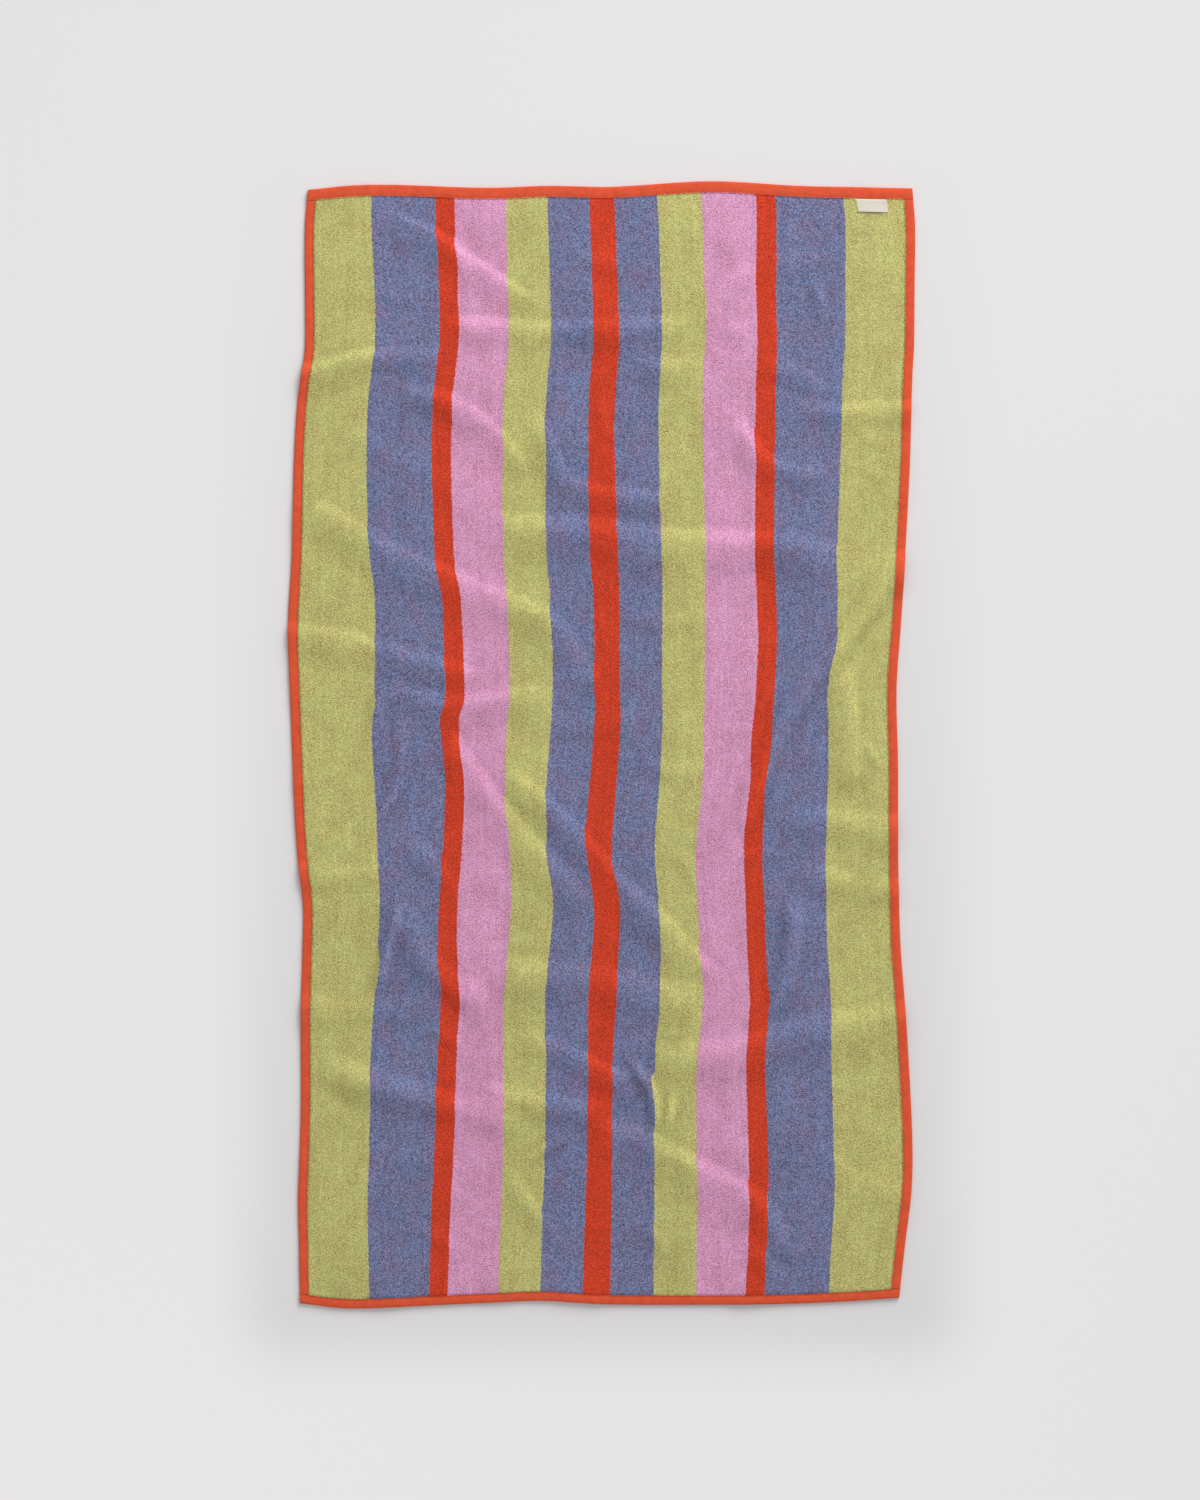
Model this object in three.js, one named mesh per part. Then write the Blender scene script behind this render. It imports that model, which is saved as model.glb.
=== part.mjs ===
// A terry bath towel spread out on a surface, face up, with the soft folds that it keeps where it wasn't
// smoothed down. Woven tape is folded over its four raw edges, and a small label is caught in the head tape.
// Millimetres, +X to the towel's right, +Y to its head, +Z up. The origin is under the middle.
import * as THREE from "three";

// The cloth as cut, and the share of its length that is left in plan once the folds have taken theirs.
const TOWEL = { width: 762, length: 1422, lengthLeftByFolds: 0.982, thick: 4, thickInTape: 1.6 };

// The tape that is folded over the raw edge: a band of it shows along the sides, the head and the foot.
const TAPE = { thick: 0.8, sideBand: 12, headBand: 14.5, footBand: 12, bend: 0.9 };

// The woven label, folded double: where its ends lie across the towel, as shares of the width, and its drop.
const LABEL = { from: 0.904, to: 0.955, drop: 16.5, thick: 1.2 };

// Touching pieces keep this gap, and the pile rises to its full height over this width beside the tape.
const GAP = 0.3;
const PILE_SHOULDER = 1.2;

// How many cells the cloth between the bands is cut into.
const CELLS = { across: 28, along: 72 };

// The plan was read off a picture that looks straight down, so its tables are in that picture's pixels:
// how many of them the flat width takes up, and which one is over the middle.
const PICTURE = { towelWidth: 609.6, middle: { x: 601.56, y: 744.85 } };
const MILLIMETRES_PER_PIXEL = TOWEL.width / PICTURE.towelWidth;

// Where the two sides lie, row by row from the head to the foot, in pixels.
const SIDE_LINES = [
  { y: 188, left: 308, right: 912 },
  { y: 225, left: 305, right: 915 },
  { y: 285, left: 305, right: 914.5 },
  { y: 345, left: 305, right: 914 },
  { y: 372, left: 301.5, right: 912.5 },
  { y: 400, left: 297.5, right: 911.5 },
  { y: 460, left: 294, right: 910 },
  { y: 550, left: 292, right: 905.5 },
  { y: 625, left: 288, right: 901 },
  { y: 690, left: 290, right: 896.5 },
  { y: 770, left: 293, right: 898 },
  { y: 850, left: 297, right: 898 },
  { y: 905, left: 303, right: 899 },
  { y: 950, left: 302.5, right: 900.5 },
  { y: 1010, left: 301, right: 905 },
  { y: 1100, left: 301, right: 910.5 },
  { y: 1160, left: 299.5, right: 912.5 },
  { y: 1200, left: 298, right: 911 },
  { y: 1245, left: 299, right: 905.5 },
  { y: 1303, left: 300, right: 899 },
];

// Where the head and the foot lie, from the left side to the right, in pixels.
const END_LINES = [
  { x: 303, head: 190, foot: 1303 },
  { x: 350, head: 186, foot: 1308 },
  { x: 400, head: 185, foot: 1307 },
  { x: 490, head: 188, foot: 1303 },
  { x: 555, head: 186, foot: 1300.5 },
  { x: 620, head: 187, foot: 1304 },
  { x: 715, head: 181.5, foot: 1304.5 },
  { x: 800, head: 186, foot: 1303.5 },
  { x: 860, head: 187.5, foot: 1301 },
  { x: 912, head: 188.5, foot: 1297.5 },
];

// The folds, from the head down. crest is the line of the fold's top, in pixels. rise is its height, and left
// and right are how far it reaches to each side of that line as one walks along it, in millimetres. Most are
// steep towards the head and long towards the foot. A fold dies away at both ends, apart from one that runs
// out over the towel's side.
const FOLDS = [
  { rise: 5.6, left: 15, right: 56, crest: [[372, 206], [432, 236], [490, 276], [552, 313]] },
  { rise: 2.9, left: 22, right: 38, crest: [[758, 271], [800, 262], [840, 256]] },
  { rise: 3.6, left: 15, right: 42, crest: [[700, 344], [713, 306], [729, 283], [760, 262]] },
  { rise: 4.5, left: 14, right: 18, crest: [[808, 266], [820, 300], [822, 340]] },
  { rise: 4.5, left: 16, right: 44, crest: [[436, 326], [520, 329], [600, 329], [704, 322]] },
  { rise: 2.4, left: 19, right: 28, crest: [[708, 320], [732, 331], [758, 338]] },
  {
    rise: 5, left: 14, right: 46, overSide: "start",
    crest: [[280, 386], [345, 362], [400, 355], [454, 356]],
  },
  { rise: 3.6, left: 17, right: 42, crest: [[626, 366], [672, 368], [712, 356]] },
  { rise: 4.1, left: 18, right: 46, crest: [[752, 364], [790, 373], [818, 388], [838, 404]] },
  { rise: 4.8, left: 16, right: 49, crest: [[380, 386], [446, 402], [484, 424], [512, 454], [528, 492]] },
  {
    rise: 4, left: 16, right: 42, overSide: "end",
    crest: [[780, 405], [830, 412], [880, 411], [922, 413]],
  },
  { rise: 4.4, left: 16, right: 46, crest: [[728, 400], [748, 440], [774, 466], [838, 482]] },
  { rise: 2.4, left: 14, right: 28, crest: [[506, 416], [522, 446], [534, 480]] },
  { rise: 4.9, left: 16, right: 46, crest: [[526, 400], [546, 440], [566, 480], [610, 496], [676, 499]] },
  {
    rise: 5.4, left: 20, right: 63,
    crest: [[298, 504], [350, 528], [400, 556], [475, 590], [545, 620], [572, 655], [602, 702]],
  },
  {
    rise: 6.6, left: 25, right: 80,
    crest: [[484, 528], [570, 532], [640, 540], [720, 545], [790, 549], [852, 566]],
  },
  {
    rise: 4.7, left: 17, right: 52, overSide: "start",
    crest: [[280, 631], [350, 641], [400, 656], [450, 670], [494, 682]],
  },
  { rise: 4.6, left: 17, right: 52, crest: [[384, 688], [440, 704], [500, 700], [556, 687]] },
  { rise: 4.5, left: 13, right: 15, crest: [[394, 680], [379, 702], [374, 744]] },
  { rise: 3, left: 11, right: 14, crest: [[398, 708], [402, 750], [396, 788], [380, 818], [374, 846]] },
  { rise: 6.2, left: 20, right: 46, crest: [[842, 652], [848, 700], [851, 750], [846, 806]] },
  {
    rise: 6.6, left: 22, right: 27, overSide: "end",
    crest: [[742, 846], [754, 798], [776, 745], [804, 694], [850, 636], [910, 556]],
  },
  { rise: 2.4, left: 11, right: 26, crest: [[714, 842], [724, 806], [752, 730], [786, 664]] },
  { rise: 2.6, left: 18, right: 49, crest: [[528, 716], [585, 725], [654, 708]] },
  { rise: 6.3, left: 20, right: 60, crest: [[440, 726], [466, 766], [496, 808], [536, 854], [594, 914]] },
  { rise: 2, left: 12, right: 24, crest: [[458, 708], [468, 726], [480, 748]] },
  {
    rise: 5.7, left: 18, right: 60,
    crest: [[500, 766], [546, 806], [580, 840], [618, 882], [662, 924], [720, 988]],
  },
  {
    rise: 4.6, left: 24, right: 49, overSide: "end",
    crest: [[770, 838], [804, 824], [850, 823], [910, 838]],
  },
  {
    rise: 3.9, left: 22, right: 46, overSide: "end",
    crest: [[788, 866], [826, 880], [862, 888], [910, 898]],
  },
  { rise: 4.1, left: 19, right: 49, crest: [[392, 838], [428, 858], [446, 884], [454, 908]] },
  { rise: 2.6, left: 18, right: 46, overSide: "start", crest: [[280, 872], [350, 875], [410, 870]] },
  { rise: 6.8, left: 12, right: 14, crest: [[402, 892], [391, 938], [383, 968], [379, 1004]] },
  { rise: 5.4, left: 27, right: 34, crest: [[400, 896], [410, 938], [434, 972], [464, 996], [488, 1022]] },
  { rise: 8, left: 19, right: 26, crest: [[795, 888], [792, 940], [785, 984], [767, 1024]] },
  { rise: 2.8, left: 14, right: 32, crest: [[472, 958], [482, 1000], [486, 1046]] },
  { rise: 5.6, left: 29, right: 60, crest: [[484, 970], [550, 978], [604, 984], [655, 995], [716, 1010]] },
  { rise: 3.1, left: 24, right: 38, overSide: "start", crest: [[285, 1011], [360, 1012], [432, 1012]] },
  { rise: 2.6, left: 14, right: 32, crest: [[600, 1052], [634, 1046], [668, 1036]] },
  {
    rise: 5.6, left: 28, right: 72, overSide: "end",
    crest: [[644, 1064], [700, 1060], [750, 1050], [800, 1036], [850, 1025], [915, 1021]],
  },
  { rise: 5.4, left: 17, right: 44, crest: [[518, 1035], [560, 1050], [600, 1070], [646, 1092]] },
  { rise: 7.4, left: 12, right: 18, crest: [[622, 1050], [648, 1084], [656, 1112], [657, 1146]] },
  { rise: 8, left: 10, right: 13, crest: [[674, 1082], [670, 1112], [664, 1146]] },
  {
    rise: 6.2, left: 26, right: 46,
    crest: [[310, 1064], [372, 1084], [430, 1100], [490, 1116], [534, 1136]],
  },
  { rise: 4.4, left: 18, right: 38, crest: [[470, 1086], [520, 1100], [570, 1108], [622, 1114]] },
  {
    rise: 7.2, left: 22, right: 84,
    crest: [[580, 1128], [634, 1138], [668, 1156], [714, 1180], [760, 1206], [780, 1238], [800, 1266]],
  },
  {
    rise: 2, left: 19, right: 52, overSide: "end",
    crest: [[794, 1142], [830, 1160], [862, 1184], [918, 1200]],
  },
  { rise: 3.1, left: 14, right: 32, crest: [[513, 1158], [522, 1192], [548, 1226], [582, 1264]] },
];

// Over this much of its crest, in millimetres, a fold eases to nothing at an end. No fold reaches less far to
// a side than the cells of the cloth can follow.
const FOLD_DIES_OVER = 45;
const SHORTEST_REACH = 24;
const CREST_STEPS = 24;

// How full a fold is: its short side rises at once and rounds over, and its long side trails away.
const SHORT_SIDE = 1.5;
const LONG_SIDE = 4.5;

// A distance over the cloth as a share of its width or length in plan.
const shareAcross = (distance) => distance / TOWEL.width;
const shareAlong = (distance) => distance / (TOWEL.length * TOWEL.lengthLeftByFolds);

const clamp01 = (value) => Math.min(1, Math.max(0, value));
const mix = (from, to, share) => from + (to - from) * share;
const easeInOut = (share) => share * share * (3 - 2 * share);

// A smooth value between two rows of a table: a cubic whose slopes follow the neighbouring rows.
function readTable(rows, key, column, at) {
  const last = rows.length - 1;
  const held = Math.min(rows[last][key], Math.max(rows[0][key], at));
  const i = rows.findLastIndex((row, index) => index < last && row[key] <= held);
  const [before, from, to, after] = [i - 1, i, i + 1, i + 2].map((j) => rows[Math.min(last, Math.max(0, j))]);
  const span = to[key] - from[key];
  const u = (held - from[key]) / span;
  const slopeOut = ((to[column] - before[column]) / (to[key] - before[key])) * span;
  const slopeIn = ((after[column] - from[column]) / (after[key] - from[key])) * span;
  return (
    (2 * u ** 3 - 3 * u ** 2 + 1) * from[column] +
    (u ** 3 - 2 * u ** 2 + u) * slopeOut +
    (3 * u ** 2 - 2 * u ** 3) * to[column] +
    (u ** 3 - u ** 2) * slopeIn
  );
}

const toMillimetres = (pixel) => ({
  x: (pixel.x - PICTURE.middle.x) * MILLIMETRES_PER_PIXEL,
  y: (PICTURE.middle.y - pixel.y) * MILLIMETRES_PER_PIXEL,
});

// Where a point of the cloth lies in plan. across goes from 0 at the left side to 1 at the right, and along
// from 0 at the head to 1 at the foot.
function planAt(across, along) {
  const y = mix(SIDE_LINES[0].y, SIDE_LINES.at(-1).y, along);
  const x = mix(END_LINES[0].x, END_LINES.at(-1).x, across);
  const [left, right] = ["left", "right"].map((side) => readTable(SIDE_LINES, "y", side, y));
  const [head, foot] = ["head", "foot"].map((end) => readTable(END_LINES, "x", end, x));
  return toMillimetres({ x: mix(left, right, across), y: mix(head, foot, along) });
}

// Each fold's crest as a run of short straight steps, with how far along it each step starts.
const crests = FOLDS.map((fold) => {
  const line = fold.crest.map(([x, y]) => toMillimetres({ x, y })).map(({ x, y }) => new THREE.Vector2(x, y));
  const curve = new THREE.SplineCurve(line);
  const points = curve.getSpacedPoints(CREST_STEPS);
  return { ...fold, points, step: curve.getLength() / CREST_STEPS, length: curve.getLength() };
});

// How high one fold lifts the cloth at a point: most on its crest, and less towards its sides and ends.
function liftOf(fold, x, y) {
  let nearest = { distance: Infinity };
  for (let i = 0; i < CREST_STEPS; i += 1) {
    const [a, b] = [fold.points[i], fold.points[i + 1]];
    const [dx, dy] = [b.x - a.x, b.y - a.y];
    const share = clamp01(((x - a.x) * dx + (y - a.y) * dy) / (dx * dx + dy * dy));
    const [offX, offY] = [x - mix(a.x, b.x, share), y - mix(a.y, b.y, share)];
    const distance = Math.hypot(offX, offY);
    if (distance < nearest.distance) {
      nearest = { distance, onLeft: dx * offY - dy * offX > 0, walked: (i + share) * fold.step };
    }
  }
  const reach = Math.max(SHORTEST_REACH, nearest.onLeft ? fold.left : fold.right);
  if (nearest.distance >= reach) return 0;
  const eased = (distance) => easeInOut(clamp01(distance / FOLD_DIES_OVER));
  const fromStart = fold.overSide === "start" ? 1 : eased(nearest.walked);
  const fromEnd = fold.overSide === "end" ? 1 : eased(fold.length - nearest.walked);
  const fullness = nearest.onLeft === fold.left < fold.right ? SHORT_SIDE : LONG_SIDE;
  return fold.rise * fromStart * fromEnd * (1 - (nearest.distance / reach) ** 2) ** fullness;
}

// The height of the cloth's underside: nothing where it lies on the surface, and more under the folds.
function liftAt(across, along) {
  const { x, y } = planAt(across, along);
  return crests.reduce((sum, fold) => sum + liftOf(fold, x, y), 0);
}

// Under a band the cloth is stiff, so it lies as high as it does at the band's inner line.
function lieAt(across, along) {
  const side = shareAcross(TAPE.sideBand + GAP);
  const [head, foot] = [shareAlong(TAPE.headBand + GAP), shareAlong(TAPE.footBand + GAP)];
  return liftAt(Math.min(1 - side, Math.max(side, across)), Math.min(1 - foot, Math.max(head, along)));
}

// A point of a piece: its place on the cloth, and its height over the cloth's underside there.
function pointAt(across, along, height) {
  const { x, y } = planAt(across, along);
  return [x, y, lieAt(across, along) + height];
}

// A mesh from points and the corners of its flat faces, turned so that the faces point out.
function solidFrom(points, faces) {
  const triangles = faces.flatMap((face) => face.slice(2).map((_, i) => [face[0], face[i + 1], face[i + 2]]));
  const [a, b, c] = [new THREE.Vector3(), new THREE.Vector3(), new THREE.Vector3()];
  const sixVolumes = triangles.reduce((sum, [i, j, k]) => {
    a.fromArray(points[i]);
    b.fromArray(points[j]);
    c.fromArray(points[k]);
    return sum + a.dot(b.cross(c));
  }, 0);
  const outward = sixVolumes > 0 ? triangles : triangles.map(([i, j, k]) => [i, k, j]);
  const geometry = new THREE.BufferGeometry();
  geometry.setAttribute("position", new THREE.Float32BufferAttribute(points.flat(), 3));
  geometry.setIndex(outward.flat());
  geometry.computeVertexNormals();
  return geometry;
}

// A sheet over a grid of places on the cloth, with a bottom and a top height for each crossing of the grid.
function sheetOver(columns, rows, heightsAt) {
  const points = [];
  rows.forEach((along, row) =>
    columns.forEach((across, column) => {
      const [bottom, top] = heightsAt(column, row);
      points.push(pointAt(across, along, bottom), pointAt(across, along, top));
    }),
  );
  const wide = columns.length;
  const bottomOf = (column, row) => 2 * (row * wide + column);
  const topOf = (column, row) => bottomOf(column, row) + 1;
  const faces = [];
  for (let row = 0; row < rows.length - 1; row += 1) {
    for (let column = 0; column < wide - 1; column += 1) {
      const cell = [[column, row], [column + 1, row], [column + 1, row + 1], [column, row + 1]];
      // A cell is split along the diagonal whose ends are nearer in height, so that it follows the crests.
      const tops = cell.map((corner) => points[topOf(...corner)][2]);
      const turned = Math.abs(tops[0] - tops[2]) > Math.abs(tops[1] - tops[3]) ? [1, 2, 3, 0] : [0, 1, 2, 3];
      const corners = turned.map((i) => cell[i]);
      const [a, b, c, d] = corners.map((corner) => bottomOf(...corner));
      faces.push(corners.map((corner) => topOf(...corner)), [a, d, c, b]);
    }
  }
  const rim = [
    ...columns.map((_, column) => [column, 0]),
    ...rows.slice(1).map((_, row) => [wide - 1, row + 1]),
    ...columns.slice(1).map((_, i) => [wide - 2 - i, rows.length - 1]),
    ...rows.slice(1, -1).map((_, i) => [0, rows.length - 2 - i]),
  ];
  rim.forEach((from, i) => {
    const to = rim[(i + 1) % rim.length];
    faces.push([bottomOf(...from), bottomOf(...to), topOf(...to), topOf(...from)]);
  });
  return solidFrom(points, faces);
}

// Tape folded over an edge, seen end on: how far in from the towel's edge each corner is, and how high.
const TAPE_HEIGHT = TOWEL.thickInTape + 2 * (TAPE.thick + GAP);
const tapeSection = (band) => ({
  outside: [
    [band, TAPE_HEIGHT],
    [TAPE.bend, TAPE_HEIGHT],
    [0, TAPE_HEIGHT - TAPE.bend],
    [0, TAPE.bend],
    [TAPE.bend, 0],
    [band, 0],
  ],
  groove: [
    [band, TAPE.thick],
    [TAPE.thick, TAPE.thick],
    [TAPE.thick, TAPE_HEIGHT - TAPE.thick],
    [band, TAPE_HEIGHT - TAPE.thick],
  ],
});

// A length of folded tape through a row of stations. placeOf turns a station and a distance in from the
// towel's edge into a place on the cloth. With closedEnds the first and last steps are solid, as where tape is
// tucked in.
function foldedTape(stations, band, placeOf, closedEnds) {
  const { outside, groove } = tapeSection(band);
  const corners = [...outside, ...groove];
  const size = corners.length;
  const points = stations.flatMap((station) =>
    corners.map(([inward, height]) => {
      const [across, along] = placeOf(station, inward);
      return pointAt(across, along, height);
    }),
  );
  const at = (station, corner) => station * size + corner;
  const [lipBelow, deepBelow, deepAbove, lipAbove] = groove.map((_, i) => outside.length + i);
  const lastStation = stations.length - 1;
  const wall = (i, from, to) => [at(i, from), at(i + 1, from), at(i + 1, to), at(i, to)];
  const grooved = corners.map((_, corner) => corner);
  const solid = [...outside.keys(), lipBelow, lipAbove];
  const faces = [];
  for (let i = 0; i < lastStation; i += 1) {
    const loop = closedEnds && (i === 0 || i === lastStation - 1) ? solid : grooved;
    loop.forEach((corner, j) => faces.push(wall(i, corner, loop[(j + 1) % loop.length])));
  }
  // Each face across the tape starts at a corner that sees all its others, and closes both ends.
  const closeAcross = (face, first, last) => {
    faces.push(face.map((corner) => at(first, corner)));
    faces.push(face.map((corner) => at(last, corner)).reverse());
  };
  if (closedEnds) {
    closeAcross([2, 3, 4, 5, lipBelow, lipAbove, 0, 1], 0, lastStation);
    closeAcross([lipBelow, lipAbove, deepAbove, deepBelow], lastStation - 1, 1);
  } else {
    closeAcross([deepAbove, lipAbove, 0, 1, 2], 0, lastStation);
    closeAcross([2, 3, deepBelow, deepAbove], 0, lastStation);
    closeAcross([deepBelow, 3, 4, 5, lipBelow], 0, lastStation);
  }
  return solidFrom(points, faces);
}

// Grid lines over the whole cloth: the raw edge in the fold of the tape, the tape's inner line, the pile's
// shoulder beside it, and even steps between.
function gridLines(firstBand, lastBand, count, toShare) {
  const edge = toShare(TAPE.thick + GAP);
  const first = toShare(firstBand + GAP);
  const last = 1 - toShare(lastBand + GAP);
  const [from, to] = [first + toShare(PILE_SHOULDER), last - toShare(PILE_SHOULDER)];
  const steps = Array.from({ length: count + 1 }, (_, i) => mix(from, to, i / count));
  return [edge, first, ...steps, last, 1 - edge];
}

const columns = gridLines(TAPE.sideBand, TAPE.sideBand, CELLS.across, shareAcross);
const rows = gridLines(TAPE.headBand, TAPE.footBand, CELLS.along, shareAlong);

// The terry panel: full height between the bands, and pressed thin inside the tape.
function terryPanel() {
  const besideTape = (line, lines) => line < 2 || line > lines.length - 3;
  const pressed = [TAPE.thick + GAP, TAPE.thick + GAP + TOWEL.thickInTape];
  const full = [0, TOWEL.thick];
  return sheetOver(columns, rows, (column, row) => {
    return besideTape(column, columns) || besideTape(row, rows) ? pressed : full;
  });
}

// Head and foot tapes run the full width, with their ends tucked in. Side tapes stop at them.
function endTape(band, alongOf) {
  const tucked = shareAcross(TAPE.thick);
  const stations = [0, tucked, ...columns.slice(1, -1), 1 - tucked, 1];
  const placeOf = (across, inward) => [across, alongOf(shareAlong(inward))];
  return foldedTape(stations, band, placeOf, true);
}

function sideTape(acrossOf) {
  const placeOf = (along, inward) => [acrossOf(shareAcross(inward)), along];
  return foldedTape(rows.slice(1, -1), TAPE.sideBand, placeOf, false);
}

// The label comes out from under the head tape, climbs the pile's shoulder and lies on the pile.
function label() {
  const start = TAPE.headBand + GAP;
  const overShoulder = start + PILE_SHOULDER;
  const end = start + LABEL.drop;
  const drops = [start, overShoulder, mix(overShoulder, end, 0.33), mix(overShoulder, end, 0.67), end];
  const acrossSteps = [0, 0.25, 0.5, 0.75, 1].map((share) => mix(LABEL.from, LABEL.to, share));
  const onCloth = TAPE.thick + GAP + TOWEL.thickInTape + GAP;
  const onPile = TOWEL.thick + GAP;
  return sheetOver(acrossSteps, drops.map(shareAlong), (_, row) => {
    const under = row === 0 ? onCloth : onPile;
    return [under, under + LABEL.thick];
  });
}

const cotton = (color) => new THREE.MeshStandardMaterial({ color, roughness: 0.95, metalness: 0 });
const terryCotton = cotton("#bac373");
const tapeCotton = cotton("#e4552f");
const labelCotton = cotton("#e9e2d2");

const towel = new THREE.Group();
const pieces = [
  { name: "terry_panel", geometry: terryPanel(), material: terryCotton },
  { name: "head_tape", geometry: endTape(TAPE.headBand, (inward) => inward), material: tapeCotton },
  { name: "foot_tape", geometry: endTape(TAPE.footBand, (inward) => 1 - inward), material: tapeCotton },
  { name: "left_tape", geometry: sideTape((inward) => inward), material: tapeCotton },
  { name: "right_tape", geometry: sideTape((inward) => 1 - inward), material: tapeCotton },
  { name: "label", geometry: label(), material: labelCotton },
];
for (const { name, geometry, material } of pieces) {
  const mesh = new THREE.Mesh(geometry, material);
  mesh.name = name;
  towel.add(mesh);
}

export default towel;
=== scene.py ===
import math

import bmesh
import bpy
import numpy as np
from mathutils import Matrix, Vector


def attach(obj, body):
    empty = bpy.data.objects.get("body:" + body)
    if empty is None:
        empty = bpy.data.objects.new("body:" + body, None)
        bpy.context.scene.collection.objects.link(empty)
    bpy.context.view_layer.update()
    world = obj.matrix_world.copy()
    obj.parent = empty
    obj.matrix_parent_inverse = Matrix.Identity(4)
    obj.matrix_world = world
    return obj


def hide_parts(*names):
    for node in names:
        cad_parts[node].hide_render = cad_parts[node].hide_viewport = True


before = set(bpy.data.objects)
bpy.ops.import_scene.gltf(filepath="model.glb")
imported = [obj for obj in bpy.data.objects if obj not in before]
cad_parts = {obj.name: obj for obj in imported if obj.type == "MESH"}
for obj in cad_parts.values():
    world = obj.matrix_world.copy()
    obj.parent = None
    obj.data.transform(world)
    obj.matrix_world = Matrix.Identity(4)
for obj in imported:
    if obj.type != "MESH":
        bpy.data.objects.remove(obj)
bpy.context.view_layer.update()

# A terry bath towel spread out on the floor. Metres, +X to its right edge, +Y to its head, +Z up.

MM = 0.001

# The cloth as cut, and the share of its length that is left in plan once the folds have taken theirs.
TOWEL_WIDTH = 762 * MM
TOWEL_LENGTH = 1422 * MM
LENGTH_LEFT_BY_FOLDS = 0.982
PLAN_LENGTH = TOWEL_LENGTH * LENGTH_LEFT_BY_FOLDS
TERRY_THICK = 4 * MM
THICK_IN_TAPE = 1.6 * MM

# The tape: its thickness, the bands that show, and the gap that touching pieces keep.
TAPE_THICK = 0.8 * MM
SIDE_BAND = 12 * MM
HEAD_BAND = 14.5 * MM
FOOT_BAND = 12 * MM
GAP = 0.3 * MM
TAPE_HEIGHT = THICK_IN_TAPE + 2 * (TAPE_THICK + GAP)

# The label: where it starts and ends across the towel, as shares of the width, its drop and its thickness.
LABEL_FROM = 0.904
LABEL_TO = 0.955
LABEL_DROP = 16.5 * MM
LABEL_THICK = 0.5 * MM

# The plan was read off a picture of 1200 x 1500 pixels that looks straight down.
PICTURE_SIZE = (1200, 1500)
PICTURE_TOWEL_WIDTH = 609.6
PICTURE_MIDDLE = (601.56, 744.85)
PIXEL = TOWEL_WIDTH / PICTURE_TOWEL_WIDTH

# Where the two sides lie, row by row from the head to the foot, in pixels: y, left, right.
SIDE_LINES = [
    (188, 308, 912),
    (225, 305, 915),
    (285, 305, 914.5),
    (345, 305, 914),
    (372, 301.5, 912.5),
    (400, 297.5, 911.5),
    (460, 294, 910),
    (550, 292, 905.5),
    (625, 288, 901),
    (690, 290, 896.5),
    (770, 293, 898),
    (850, 297, 898),
    (905, 303, 899),
    (950, 302.5, 900.5),
    (1010, 301, 905),
    (1100, 301, 910.5),
    (1160, 299.5, 912.5),
    (1200, 298, 911),
    (1245, 299, 905.5),
    (1303, 300, 899),
]

# Where the head and the foot lie, from the left side to the right, in pixels: x, head, foot.
END_LINES = [
    (303, 190, 1303),
    (350, 186, 1308),
    (400, 185, 1307),
    (490, 188, 1303),
    (555, 186, 1300.5),
    (620, 187, 1304),
    (715, 181.5, 1304.5),
    (800, 186, 1303.5),
    (860, 187.5, 1301),
    (912, 188.5, 1297.5),
]

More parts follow.
